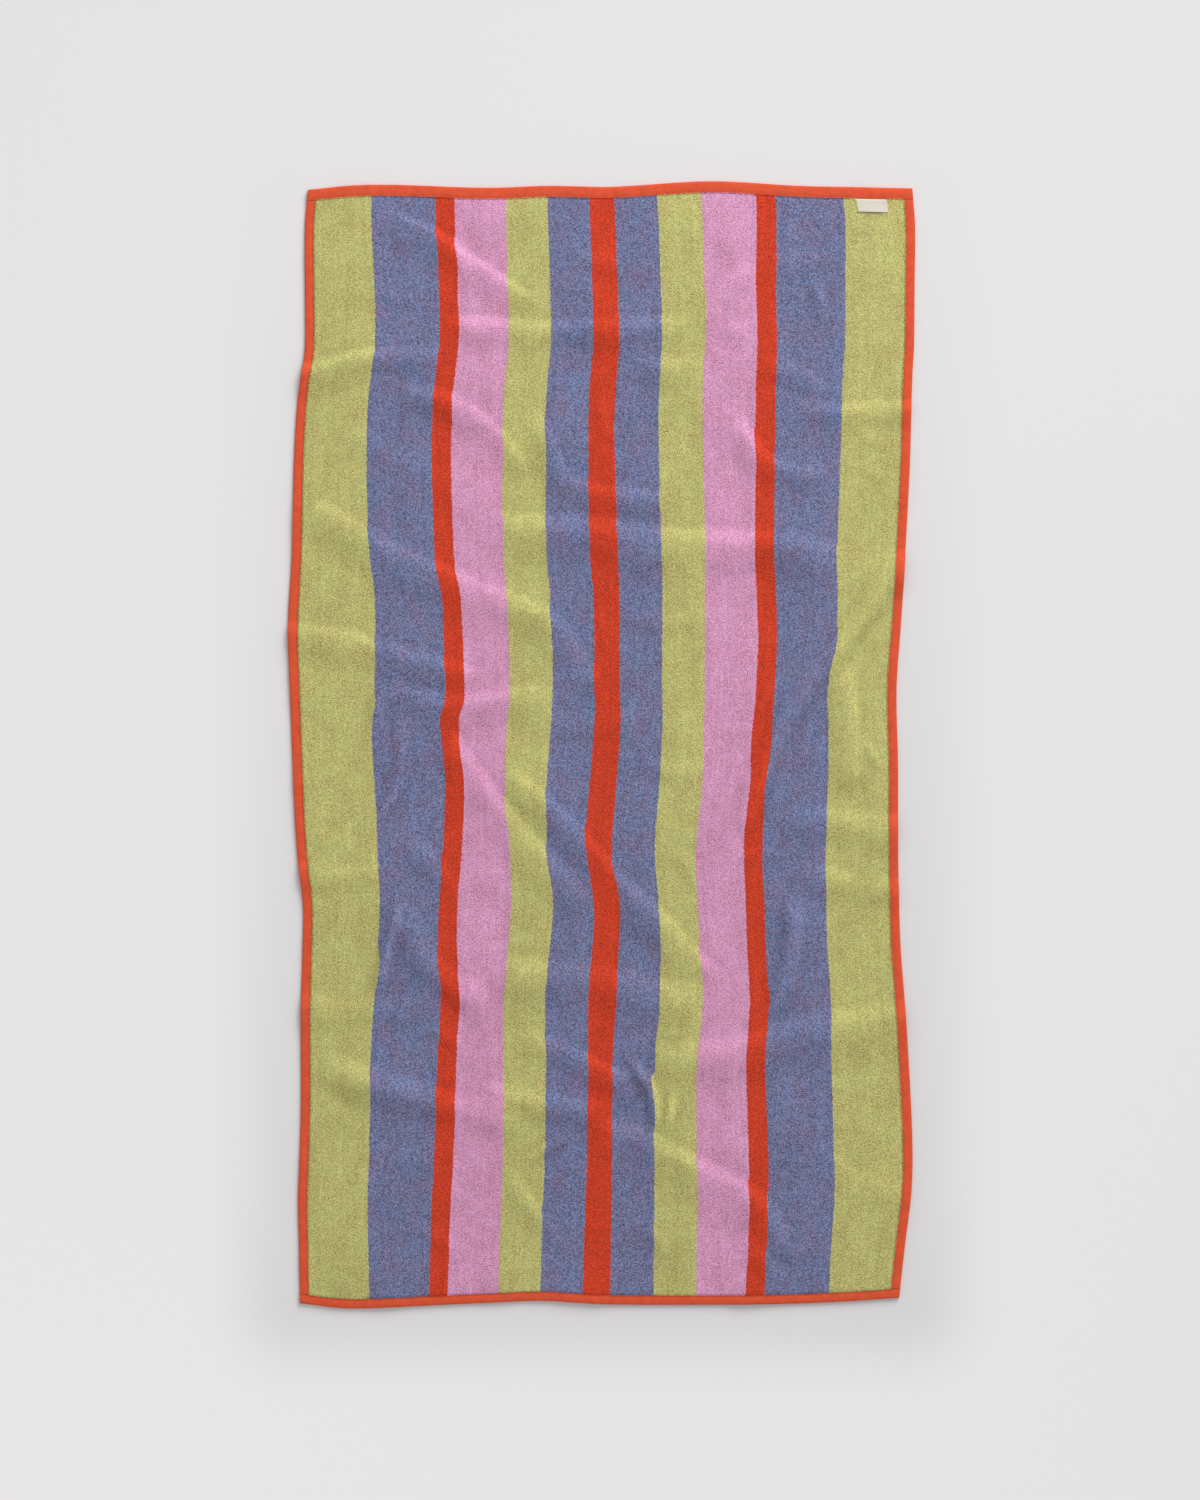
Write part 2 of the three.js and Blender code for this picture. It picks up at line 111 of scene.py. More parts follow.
# The folds, from the head down: rise, reach to the left and right of the crest in millimetres, the end of the
# crest that runs out over the towel's side ("start", "end" or ""), and the crest in pixels. Most are steep
# towards the head and die away slowly towards the foot.
FOLDS = [
    (5.6, 15, 56, "", [(372, 206), (432, 236), (490, 276), (552, 313)]),
    (2.9, 22, 38, "", [(758, 271), (800, 262), (840, 256)]),
    (3.6, 15, 42, "", [(700, 344), (713, 306), (729, 283), (760, 262)]),
    (4.5, 14, 18, "", [(808, 266), (820, 300), (822, 340)]),
    (4.5, 16, 44, "", [(436, 326), (520, 329), (600, 329), (704, 322)]),
    (2.4, 19, 28, "", [(708, 320), (732, 331), (758, 338)]),
    (5, 14, 46, "start", [(280, 386), (345, 362), (400, 355), (454, 356)]),
    (3.6, 17, 42, "", [(626, 366), (672, 368), (712, 356)]),
    (4.1, 18, 46, "", [(752, 364), (790, 373), (818, 388), (838, 404)]),
    (4.8, 16, 49, "", [(380, 386), (446, 402), (484, 424), (512, 454), (528, 492)]),
    (4, 16, 42, "end", [(780, 405), (830, 412), (880, 411), (922, 413)]),
    (4.4, 16, 46, "", [(728, 400), (748, 440), (774, 466), (838, 482)]),
    (2.4, 14, 28, "", [(506, 416), (522, 446), (534, 480)]),
    (4.9, 16, 46, "", [(526, 400), (546, 440), (566, 480), (610, 496), (676, 499)]),
    (5.4, 20, 63, "", [(298, 504), (350, 528), (400, 556), (475, 590), (545, 620), (572, 655), (602, 702)]),
    (6.6, 25, 80, "", [(484, 528), (570, 532), (640, 540), (720, 545), (790, 549), (852, 566)]),
    (4.7, 17, 52, "start", [(280, 631), (350, 641), (400, 656), (450, 670), (494, 682)]),
    (4.6, 17, 52, "", [(384, 688), (440, 704), (500, 700), (556, 687)]),
    (4.5, 13, 15, "", [(394, 680), (379, 702), (374, 744)]),
    (3, 11, 14, "", [(398, 708), (402, 750), (396, 788), (380, 818), (374, 846)]),
    (6.2, 20, 46, "", [(842, 652), (848, 700), (851, 750), (846, 806)]),
    (6.6, 22, 27, "end", [(742, 846), (754, 798), (776, 745), (804, 694), (850, 636), (910, 556)]),
    (2.4, 11, 26, "", [(714, 842), (724, 806), (752, 730), (786, 664)]),
    (2.6, 18, 49, "", [(528, 716), (585, 725), (654, 708)]),
    (6.3, 20, 60, "", [(440, 726), (466, 766), (496, 808), (536, 854), (594, 914)]),
    (2, 12, 24, "", [(458, 708), (468, 726), (480, 748)]),
    (5.7, 18, 60, "", [(500, 766), (546, 806), (580, 840), (618, 882), (662, 924), (720, 988)]),
    (4.6, 24, 49, "end", [(770, 838), (804, 824), (850, 823), (910, 838)]),
    (3.9, 22, 46, "end", [(788, 866), (826, 880), (862, 888), (910, 898)]),
    (4.1, 19, 49, "", [(392, 838), (428, 858), (446, 884), (454, 908)]),
    (2.6, 18, 46, "start", [(280, 872), (350, 875), (410, 870)]),
    (6.8, 12, 14, "", [(402, 892), (391, 938), (383, 968), (379, 1004)]),
    (5.4, 27, 34, "", [(400, 896), (410, 938), (434, 972), (464, 996), (488, 1022)]),
    (8, 19, 26, "", [(795, 888), (792, 940), (785, 984), (767, 1024)]),
    (2.8, 14, 32, "", [(472, 958), (482, 1000), (486, 1046)]),
    (5.6, 29, 60, "", [(484, 970), (550, 978), (604, 984), (655, 995), (716, 1010)]),
    (3.1, 24, 38, "start", [(285, 1011), (360, 1012), (432, 1012)]),
    (2.6, 14, 32, "", [(600, 1052), (634, 1046), (668, 1036)]),
    (5.6, 28, 72, "end", [(644, 1064), (700, 1060), (750, 1050), (800, 1036), (850, 1025), (915, 1021)]),
    (5.4, 17, 44, "", [(518, 1035), (560, 1050), (600, 1070), (646, 1092)]),
    (7.4, 12, 18, "", [(622, 1050), (648, 1084), (656, 1112), (657, 1146)]),
    (8, 10, 13, "", [(674, 1082), (670, 1112), (664, 1146)]),
    (6.2, 26, 46, "", [(310, 1064), (372, 1084), (430, 1100), (490, 1116), (534, 1136)]),
    (4.4, 18, 38, "", [(470, 1086), (520, 1100), (570, 1108), (622, 1114)]),
    (
        7.2, 22, 84, "",
        [(580, 1128), (634, 1138), (668, 1156), (714, 1180), (760, 1206), (780, 1238), (800, 1266)],
    ),
    (2, 19, 52, "end", [(794, 1142), (830, 1160), (862, 1184), (918, 1200)]),
    (3.1, 14, 32, "", [(513, 1158), (522, 1192), (548, 1226), (582, 1264)]),
]

# A fold dies away over this length of its crest. A crest is followed in this many straight steps.
FOLD_DIES_OVER = 45 * MM
CREST_STEPS = 24

# How full a fold is: its short side rises at once and rounds over, and its long side trails away.
SHORT_SIDE = 1.5
LONG_SIDE = 4.5

# A fold draws the stripes that cross it towards itself, by this much for a slope of one in one.
STRIPE_DRAWN = 6 * MM

# Lines of the warp that the folds push aside: how far down the picture, then how far each of eight lines is
# off its even place, in pixels. The lines' even places are shares of the width.
WARP_LINES = (0.125, 0.243, 0.352, 0.455, 0.556, 0.657, 0.764, 0.877)
WARP_SHIFTS = [
    (190, (-9, -9, -7, -9, -11, -9, -3, 1)),
    (300, (-4, -4, -4, -5, -6, -5, -3, 2)),
    (420, (-3, -3, -2, -3, -3, -2, 1, 2)),
    (553, (3, 4, 3, 3, 5, 6, 5, 4)),
    (600, (12, 14, 9, 10, 9, 9, 10, 7)),
    (650, (13, 18, 13, 13, 11, 11, 14, 7)),
    (700, (10, 18, 13, 14, 12, 12, 13, 1)),
    (720, (7, 12, 10, 13, 12, 11, 10, 2)),
    (790, (8, 15, 5, 5, 6, 7, 3, 0)),
    (850, (8, 10, 8, 0, 1, 0, -2, -2)),
    (915, (4, 0, 5, 5, 4, -1, -2, -3)),
    (1000, (0, 3, -3, -3, 0, 2, -2, -3)),
    (1060, (-4, -1, -4, -4, -7, -7, -8, -6)),
    (1150, (-5, -4, -5, -7, -9, -10, -8, -7)),
    (1297, (-3, -7, -5, -6, -3, -2, -2, -1)),
]

# Small creases, too slight for more than a shade on the cloth, in the same columns.
SMALL_CREASES = [
    (2, 14, 26, "", [(850, 465), (874, 476), (892, 492)]),
    (2.4, 11, 14, "", [(862, 728), (872, 752), (886, 778)]),
    (2, 14, 26, "", [(728, 860), (766, 852), (802, 850)]),
    (2.2, 14, 18, "", [(746, 888), (724, 922)]),
    (3, 12, 18, "", [(460, 954), (498, 947), (536, 931)]),
    (2.8, 11, 15, "", [(584, 1126), (552, 1144), (514, 1168)]),
    (2, 12, 18, "", [(768, 978), (750, 1006), (733, 1028)]),
    (2.2, 16, 30, "", [(733, 1228), (762, 1262), (802, 1288)]),
    (2, 18, 30, "", [(818, 1124), (860, 1128), (902, 1136)]),
    (2.2, 14, 26, "", [(436, 236), (462, 262), (470, 296)]),
    (2, 16, 26, "", [(560, 250), (602, 262), (640, 258)]),
    (1.6, 16, 26, "", [(330, 300), (370, 292), (420, 300)]),
    (2, 16, 28, "", [(332, 430), (372, 442), (410, 470)]),
    (1.8, 16, 26, "", [(596, 404), (640, 412), (690, 404)]),
    (1.8, 16, 26, "", [(604, 612), (650, 624), (700, 618)]),
    (1.8, 16, 26, "", [(628, 760), (676, 772), (716, 764)]),
    (2, 14, 20, "", [(330, 758), (352, 792), (358, 836)]),
    (2, 16, 24, "", [(660, 840), (690, 868), (700, 902)]),
    (1.8, 14, 24, "", [(330, 960), (352, 974), (384, 976)]),
    (1.8, 16, 26, "", [(352, 1140), (400, 1158), (450, 1162)]),
    (2, 14, 26, "", [(402, 1220), (440, 1238), (470, 1262)]),
    (2, 14, 26, "", [(612, 1212), (650, 1232), (672, 1262)]),
    (2.2, 12, 16, "", [(812, 700), (806, 742), (794, 790)]),
    (2, 12, 18, "", [(600, 380), (604, 420), (622, 452)]),
    (1.8, 12, 18, "", [(646, 428), (652, 462), (648, 490)]),
    (2, 12, 20, "", [(420, 1016), (452, 1040), (470, 1070)]),
    (2, 12, 18, "", [(846, 420), (868, 438), (900, 446)]),
]

# The even waviness of cloth between its folds: length from wave to wave, height, and how many waves are laid
# over each other.
RIPPLES = [(130 * MM, 0.8 * MM, 14), (55 * MM, 0.3 * MM, 18), (24 * MM, 0.1 * MM, 24)]

# Where the ripples would carry the cloth below the floor it flattens on to it, softly over this height.
TOUCHING = 0.8 * MM

# The stripes of the pile, from the left raw edge to the right: a width in millimetres and a yarn. Every
# stripe is woven from two warps, and the one that isn't on the face shows on the back.
STRIPES = [
    (92, "green"),
    (78, "periwinkle"),
    (26, "orange"),
    (62, "pink"),
    (54, "green"),
    (54, "periwinkle"),
    (30, "orange"),
    (54, "periwinkle"),
    (54, "green"),
    (62, "pink"),
    (26, "orange"),
    (78, "periwinkle"),
    (92, "green"),
]
YARNS = {"green": "#c2c179", "periwinkle": "#717ca2", "orange": "#d44227", "pink": "#db9ec4"}

# How far one loop's tone may be from the next one's, as a share of it.
MOTTLE = {"green": 0.24, "periwinkle": 0.5, "orange": 0.28, "pink": 0.22}
OTHER_FACE = {"green": "pink", "periwinkle": "orange", "orange": "periwinkle", "pink": "green"}
GROUND_YARN = "#a03c28"
TAPE_COLOUR = "#dd5635"
THREAD_COLOUR = "#c4492c"
LABEL_COLOUR = "#d2cbbf"

# Loops of pile curl, and lean together in clumps. Their fibres are drawn coarser than real.
LOOP_PITCH = 1.2 * MM
CLUMP_PITCH = 6 * MM
CURL = 1.1 * MM
FIBRES = 0.35 * MM

# The relief of the loops, and the shares of clumps and fibres in it.
LOOP_RELIEF = 0.8 * MM
CLUMP_SHARE = 0.65
FIBRE_SHARE = 0.45

# Between these bends, in one over metres, the pile goes from painted shade in a hollow to a painted highlight
# on a crest.
CREST_BENDS = (-45.0, 110.0)
CREST_AND_HOLLOW_PAINTED_LIGHT = (0.92, 1.2)

# The weaves of the tape and the label. Real ribs are about 0.5 mm apart, and these are wider to show.
TAPE_RIB = 1.3 * MM
TAPE_THREAD = 1 * MM
TAPE_FADES = 9 * MM
THREAD_TWIST = 0.8 * MM
LABEL_GRAIN_ACROSS = 0.5 * MM
LABEL_GRAIN_ALONG = 4 * MM

# The seam: the length of a stitch and its thread's half sizes in millimetres, how far it lies in from the
# tape's lip, how deep it draws the tape in, and which corner of the tape's section it lies on.
STITCH = 3.4 * MM
THREAD_HALF_SIZES = (1.35, 0.28, 0.2)
STITCH_IN_FROM_LIP = 1.7 * MM
STITCH_DIMPLE = 0.22 * MM
STITCH_ROW = 3

# How the tape's lip wanders and its upper side waves: from wave to wave, by how much, and how many waves.
LIP_WANDERS = (30 * MM, 0.18 * MM, 8)
TAPE_WAVES = (22 * MM, 0.07 * MM, 8)

# The last loops beside a band, row by row and in millimetres: from loop to loop, how far in from the band
# they lie, and how high.
EDGE_LOOPS = [
    (1.5, (0.15, 0.75), (3.3, 3.9)),
    (1.9, (-0.45, 0.25), (4.15, 4.35)),
    (1.7, (0.6, 1.6), (3.7, 4.1)),
]
LOOP_HALF_SIZES = (0.75, 0.5, 0.42)

# How many cells across and along the terry's face and its back are cut into, and how many lines at each
# edge lie in the tape or on the pile's shoulder. At these distances from the tape, in millimetres, the
# shoulder has risen by these shares.
FACE_CELLS = (182, 336)
BACK_CELLS = (90, 166)
EDGE_LINES = 8
SHOULDER = (0.3, 0.6, 1.1, 2.2)
SHOULDER_RISE = (0, 0.62, 0.9, 1)

# The label's underside at the tape, its climb on to the pile, and how its free end lifts, bows and leans.
LABEL_LIES_AT = 3.4 * MM
LABEL_CLIMB = 0.95 * MM
LABEL_CLIMBS_OVER = 1.4 * MM
LABEL_LIFT = 0.9 * MM
LABEL_BOW = 0.5 * MM
LABEL_SKEW = 0.0012

# How much light the floor gives back: beside the towel, and beyond it at the head's and the foot's ends.
# Beyond the towel it is painted paler towards the foot, where less light falls, as painted light, so that
# beside the towel it is darker, a painted shadow. It gives back a little more on the left than on the right,
# and red, green and blue in these shares.
FLOOR_IN_PAINTED_SHADOW = 0.72
FLOOR_HEAD = 0.7
FLOOR_FOOT = 0.9
FLOOR_LEFT = 1.08
FLOOR_RIGHT = 0.99
FLOOR_TINT = (1.0, 0.982, 0.99)
PAINTED_SHADOW_CLEARS_OVER = 130 * MM
FLOOR_HALF = 6

# The camera's lens and the height of its film, in millimetres.
CAMERA_LENS = 100
FILM_HEIGHT = 36

# The room's even light, and the soft light: its power in watts, its side, its distance, how high it stands
# and how far it is turned to the right, in degrees.
ROOM_LIGHT = 0.57
SOFTBOX_POWER = 440
SOFTBOX_SIZE = 3.6
SOFTBOX_DISTANCE = 7
SOFTBOX_ELEVATION = 28
SOFTBOX_TURN = 24

rng = np.random.default_rng(11)


# Shapes of the cloth

def smooth(share):
    share = np.clip(share, 0.0, 1.0)
    return share * share * (3 - 2 * share)


def read_table(rows, column, at):
    """A smooth value between the rows of a table: a cubic whose slopes follow the neighbouring rows."""
    places = np.array([row[0] for row in rows], float)
    values = np.array([row[column] for row in rows], float)
    at = np.clip(at, places[0], places[-1])
    i = np.clip(np.searchsorted(places, at, side="right") - 1, 0, len(rows) - 2)
    before, after = np.maximum(i - 1, 0), np.minimum(i + 2, len(rows) - 1)
    span = places[i + 1] - places[i]
    u = (at - places[i]) / span
    slope_out = (values[i + 1] - values[before]) / (places[i + 1] - places[before]) * span
    slope_in = (values[after] - values[i]) / (places[after] - places[i]) * span
    return (
        (2 * u**3 - 3 * u**2 + 1) * values[i]
        + (u**3 - 2 * u**2 + u) * slope_out
        + (3 * u**2 - 2 * u**3) * values[i + 1]
        + (u**3 - u**2) * slope_in
    )


def on_floor(x, y):
    """A pixel's place on the floor."""
    return (x - PICTURE_MIDDLE[0]) * PIXEL, (PICTURE_MIDDLE[1] - y) * PIXEL


def warp_shift(across, y):
    """How far the folds push the warp aside, in pixels."""
    rows = [(place, *shifts) for place, shifts in WARP_SHIFTS]
    lines = np.array([0.0, *WARP_LINES, 1.0])
    shifts = np.zeros((len(lines), len(y)))
    for k in range(len(WARP_LINES)):
        shifts[k + 1] = read_table(rows, k + 1, y)
    j = np.clip(np.searchsorted(lines, across, side="right") - 1, 0, len(lines) - 2)
    share = smooth((across - lines[j]) / (lines[j + 1] - lines[j]))
    point = np.arange(len(y))
    return shifts[j, point] * (1 - share) + shifts[j + 1, point] * share


def plan_at(across, along):
    """Where points of the cloth lie in plan. Across is 0 at the left side, and along is 0 at the head."""
    y = SIDE_LINES[0][0] + (SIDE_LINES[-1][0] - SIDE_LINES[0][0]) * along
    x = END_LINES[0][0] + (END_LINES[-1][0] - END_LINES[0][0]) * across
    left, right = read_table(SIDE_LINES, 1, y), read_table(SIDE_LINES, 2, y)
    head, foot = read_table(END_LINES, 1, x), read_table(END_LINES, 2, x)
    return on_floor(left + (right - left) * across + warp_shift(across, y), head + (foot - head) * along)


def crest_line(crest):
    """A fold's crest as short straight steps through its points, and the length of one step."""
    points = np.array([on_floor(x, y) for x, y in crest])
    knots = list(zip(np.arange(len(points)), points[:, 0], points[:, 1]))
    fine = np.linspace(0, len(points) - 1, 8 * CREST_STEPS)
    line = np.stack([read_table(knots, 1, fine), read_table(knots, 2, fine)], 1)
    walked = np.concatenate([[0], np.cumsum(np.linalg.norm(np.diff(line, axis=0), axis=1))])
    even = np.linspace(0, walked[-1], CREST_STEPS + 1)
    return np.stack([np.interp(even, walked, line[:, k]) for k in (0, 1)], 1), walked[-1] / CREST_STEPS


def fold_lift(fold, x, y):
    """How high one fold lifts the cloth: all the way on its crest, and less towards its sides and ends."""
    rise, left, right, over_side, crest = fold
    line, step = crest_line(crest)
    length = step * CREST_STEPS
    reach = max(left, right) * MM
    low, high = line.min(0) - reach, line.max(0) + reach
    near = np.flatnonzero((x > low[0]) & (x < high[0]) & (y > low[1]) & (y < high[1]))
    px, py = x[near], y[near]
    best = np.full(len(near), np.inf)
    side, walked = np.zeros(len(near)), np.zeros(len(near))
    for i in range(CREST_STEPS):
        ax, ay = line[i]
        dx, dy = line[i + 1] - line[i]
        share = np.clip(((px - ax) * dx + (py - ay) * dy) / (dx * dx + dy * dy), 0, 1)
        off_x, off_y = px - ax - dx * share, py - ay - dy * share
        distance = np.hypot(off_x, off_y)
        closer = distance < best
        best[closer] = distance[closer]
        side[closer] = (dx * off_y - dy * off_x)[closer]
        walked[closer] = ((i + share) * step)[closer]
    on_left = side > 0
    shares = best / np.where(on_left, left * MM, right * MM)
    fullness = np.where(on_left == (left < right), SHORT_SIDE, LONG_SIDE)
    ends = np.ones(len(near))
    if over_side != "start":
        ends *= smooth(walked / FOLD_DIES_OVER)
    if over_side != "end":
        ends *= smooth((length - walked) / FOLD_DIES_OVER)
    lift = np.zeros(len(x))
    lift[near] = rise * MM * ends * np.clip(1 - shares**2, 0, 1) ** fullness
    return lift


def ripple(x, y, length, height, waves, seed):
    """An even, aimless waviness: many plane waves of about one length laid over each other."""
    draw = np.random.default_rng(seed)
    total = np.zeros(len(x))
    for _ in range(waves):
        heading, phase = draw.uniform(0, 2 * math.pi, 2)
        pace = 2 * math.pi / (length * draw.uniform(0.75, 1.35))
        total += np.sin(pace * (x * math.cos(heading) + y * math.sin(heading)) + phase)
    return height * total / math.sqrt(waves / 2)


def lie_at(across, along):
    """The height of the cloth's underside. Under a band it is stiff, and lies as at the band's inner line."""
    side = (SIDE_BAND + GAP) / TOWEL_WIDTH
    head, foot = (HEAD_BAND + GAP) / PLAN_LENGTH, (FOOT_BAND + GAP) / PLAN_LENGTH
    x, y = plan_at(np.clip(across, side, 1 - side), np.clip(along, head, 1 - foot))
    lift = sum(fold_lift(fold, x, y) for fold in FOLDS + SMALL_CREASES)
    for seed, (length, height, waves) in enumerate(RIPPLES):
        lift = lift + ripple(x, y, length, height, waves, seed)
    return (lift + np.hypot(lift, TOUCHING)) / 2


def points_at(across, along, height):
    """Places of points of a piece: their place on the cloth, and their height over its underside."""
    x, y = plan_at(across, along)
    return np.stack([x, y, lie_at(across, along) + height], 1)


# Making meshes

def grid_places(verts):
    """The column and row of each vertex of a grid over the square from -1 to 1, as shares of the grid."""
    flat = np.array([vert.co[:2] for vert in verts])
    return (flat[:, 0] + 1) / 2, (flat[:, 1] + 1) / 2


def pick(lines, shares):
    """The line of a grid at a share of its count."""
    lines = np.asarray(lines)
    return lines[np.rint(shares * (len(lines) - 1)).astype(int)]


def finished(name, bm, material, coordinates=None, shades=None):
    """A piece from a bmesh, smooth, with its places on the cloth as its UV map, in metres, and with a value
    at each point for each of the shades that its material reads."""
    mesh = bpy.data.meshes.new(name)
    bm.to_mesh(mesh)
    bm.free()
    for polygon in mesh.polygons:
        polygon.use_smooth = True
    if coordinates is not None:
        layer = mesh.uv_layers.new(name="cloth")
        corners = np.zeros(len(mesh.loops), np.int32)
        mesh.loops.foreach_get("vertex_index", corners)
        layer.uv.foreach_set("vector", np.asarray(coordinates, np.float32)[corners].ravel())
    for shade, values in (shades or {}).items():
        layer = mesh.attributes.new(shade, "FLOAT", "POINT")
        layer.data.foreach_set("value", np.asarray(values, np.float32))
    mesh.materials.append(material)
    piece = bpy.data.objects.new(name, mesh)
    bpy.context.scene.collection.objects.link(piece)
    return piece


def move_to(verts, places):
    for vert, place in zip(verts, places):
        vert.co = place


def even_lines(first_band, last_band, length, count):
    """Lines over the cloth as shares: the edge in the tape, the pile's shoulder beside it, and even steps."""
    beside = np.array(SHOULDER) * MM
    first = np.concatenate([[TAPE_THICK + GAP, first_band / 2], first_band + beside]) / length
    last = 1 - np.concatenate([[TAPE_THICK + GAP, last_band / 2], last_band + beside])[::-1] / length
    steps = np.linspace(first[-1], last[0], count + 1)[1:-1]
    return np.concatenate([first, steps, last])


def terry_heights(across, along):
    """The bottom and top of the terry over its underside: pressed thin in the tape, and full beside it."""
    beside_side = np.minimum(across, 1 - across) * TOWEL_WIDTH - SIDE_BAND
    beside_end = np.minimum(along * PLAN_LENGTH - HEAD_BAND, (1 - along) * PLAN_LENGTH - FOOT_BAND)
    clear = np.minimum(beside_side, beside_end)
    shoulder = np.interp(clear, np.array(SHOULDER) * MM, SHOULDER_RISE)
    tucked = np.interp(clear, np.array([SHOULDER[0], SHOULDER[2]]) * MM, [1, 0])
    bottom = (TAPE_THICK + GAP) * tucked
    top = TAPE_THICK + GAP + THICK_IN_TAPE
    return bottom, top + (TERRY_THICK - top) * shoulder


def bend_and_slope(across, along, height, column_lines, row_lines):
    """How sharply a face bends, in one over metres, more than nothing on a crest and less in a hollow, and
    how steeply it climbs from left to right. Both are nothing near the edges."""
    columns = np.searchsorted(column_lines, across - 1e-6)
    rows = np.searchsorted(row_lines, along - 1e-6)
    sheet = np.zeros((len(row_lines), len(column_lines)))
    sheet[rows, columns] = height
    x, y = column_lines * TOWEL_WIDTH, row_lines * PLAN_LENGTH
    slope, down = np.gradient(sheet, x, axis=1), np.gradient(sheet, y, axis=0)
    bend = -np.gradient(slope, x, axis=1) - np.gradient(down, y, axis=0)
    for values in (bend, slope):
        values[:EDGE_LINES] = values[-EDGE_LINES:] = 0
        values[:, :EDGE_LINES] = values[:, -EDGE_LINES:] = 0
    return bend[rows, columns], slope[rows, columns]


def terry_panel(material):
    """The terry: a fine face and a plainer back, closed round the raw edge inside the tape."""
    bm = bmesh.new()
    across, along, faces = [], [], []
    for columns, rows in (FACE_CELLS, BACK_CELLS):
        column_lines = even_lines(SIDE_BAND, SIDE_BAND, TOWEL_WIDTH, columns)
        row_lines = even_lines(HEAD_BAND, FOOT_BAND, PLAN_LENGTH, rows)
        cells = {"x_segments": len(column_lines) - 1, "y_segments": len(row_lines) - 1}
        made = bmesh.ops.create_grid(bm, **cells, size=1)
        shares = grid_places(made["verts"])
        across.append(pick(column_lines, shares[0]))
        along.append(pick(row_lines, shares[1]))
        faces.append(made["verts"])
    bm.verts.index_update()
    top_lines = (
        even_lines(SIDE_BAND, SIDE_BAND, TOWEL_WIDTH, FACE_CELLS[0]),
        even_lines(HEAD_BAND, FOOT_BAND, PLAN_LENGTH, FACE_CELLS[1]),
    )
    top_places = points_at(across[0], along[0], terry_heights(across[0], along[0])[1])
    bottom_places = points_at(across[1], along[1], terry_heights(across[1], along[1])[0])
    rim = [edge for edge in bm.edges if edge.is_boundary]
    move_to(faces[0], top_places)
    move_to(faces[1], bottom_places)
    bmesh.ops.bridge_loops(bm, edges=rim)
    bmesh.ops.recalc_face_normals(bm, faces=bm.faces)
    coordinates = np.stack([np.concatenate(across) * TOWEL_WIDTH, np.concatenate(along) * TOWEL_LENGTH], 1)
    plain = np.zeros(len(across[1]))
    # The bend goes to the material, which paints a highlight on crests and shade in hollows.
    bend, slope = bend_and_slope(across[0], along[0], top_places[:, 2], *top_lines)
    crest = np.concatenate([bend, plain])
    drawn = np.concatenate([-STRIPE_DRAWN * slope, plain])
    reverse = np.concatenate([np.zeros(len(across[0])), plain + 1])
    return finished("terry", bm, material, coordinates, {"crest": crest, "drawn": drawn, "reverse": reverse})


def tape_section(band):
    """Tape folded over an edge, seen end on, from its upper lip round the fold and back in its groove."""
    high, thick, turn = TAPE_HEIGHT, TAPE_THICK, TAPE_HEIGHT / 2
    fold = [
        (turn * (1 - math.sin(angle)), turn * (1 + math.cos(angle)))
        for angle in np.linspace(0.12, math.pi - 0.12, 9)
    ]
    outside = [
        (band - 0.05 * MM, high - 0.35 * MM),
        (band - 0.25 * MM, high),
        (band - STITCH_IN_FROM_LIP + 0.6 * MM, high),
        (band - STITCH_IN_FROM_LIP, high - 0.1 * MM),
        (band - STITCH_IN_FROM_LIP - 0.6 * MM, high),
        (band * 0.55, high + 0.1 * MM),
        (band * 0.35, high + 0.06 * MM),
        *fold,
        (band * 0.4, 0),
        (band * 0.75, 0),
        (band, 0),
    ]
    groove = [(band, thick), (band / 2, thick), (thick, thick + 0.2 * MM)]
    return outside + groove + [(inward, high - height) for inward, height in reversed(groove)]


def folded_tape(name, material, band, start, end, place_of, length):
    """A length of folded tape. place_of turns shares along it and distances in from the towel's edge into
    places on the cloth. Each stitch draws the upper side down a little."""
    section = np.array(tape_section(band))
    bm = bmesh.new()
    count = int((end - start) * length / (STITCH / 4))
    made = bmesh.ops.create_grid(bm, x_segments=len(section), y_segments=count, size=1)
    across_tape, along_tape = grid_places(made["verts"])
    corner = np.rint(across_tape * len(section)).astype(int) % len(section)
    station = start + (end - start) * along_tape
    inward, height = section[corner, 0], section[corner, 1]
    run = station * length
    lip = (corner <= 1) | (corner == len(section) - 1)
    level = np.zeros(len(run))
    inward = inward + lip * ripple(run, level, *LIP_WANDERS, seed=5)
    upper = corner <= 6
    height = height + upper * ripple(run, level, *TAPE_WAVES, seed=6)
    drawn_in = 0.5 + 0.5 * np.cos(2 * math.pi * run / STITCH)
    height = height - (corner == STITCH_ROW) * STITCH_DIMPLE * drawn_in
    across, along = place_of(station, inward)
    move_to(made["verts"], points_at(across, along, height))
    bmesh.ops.remove_doubles(bm, verts=bm.verts, dist=0.01 * MM)
    ends = bmesh.ops.holes_fill(bm, edges=[edge for edge in bm.edges if edge.is_boundary], sides=0)
    bmesh.ops.triangulate(bm, faces=ends["faces"])
    bmesh.ops.recalc_face_normals(bm, faces=bm.faces)
    bm.verts.index_update()
    # The weave's map: how far along the tape, and how far in from the towel's edge, over the fold and under.
    round_tape = np.concatenate([[0], np.cumsum(np.linalg.norm(np.diff(section, axis=0), axis=1))])
    kept = {tuple(np.round(vert.co, 7)): vert.index for vert in bm.verts}
    coordinates = np.zeros((len(bm.verts), 2))
    places = points_at(across, along, height)
    for place, far, turn in zip(np.float32(places), run, round_tape[corner]):
        index = kept.get(tuple(np.round(Vector(place), 7)))
        if index is not None:
            coordinates[index] = far, turn
    return finished(name, bm, material, coordinates)


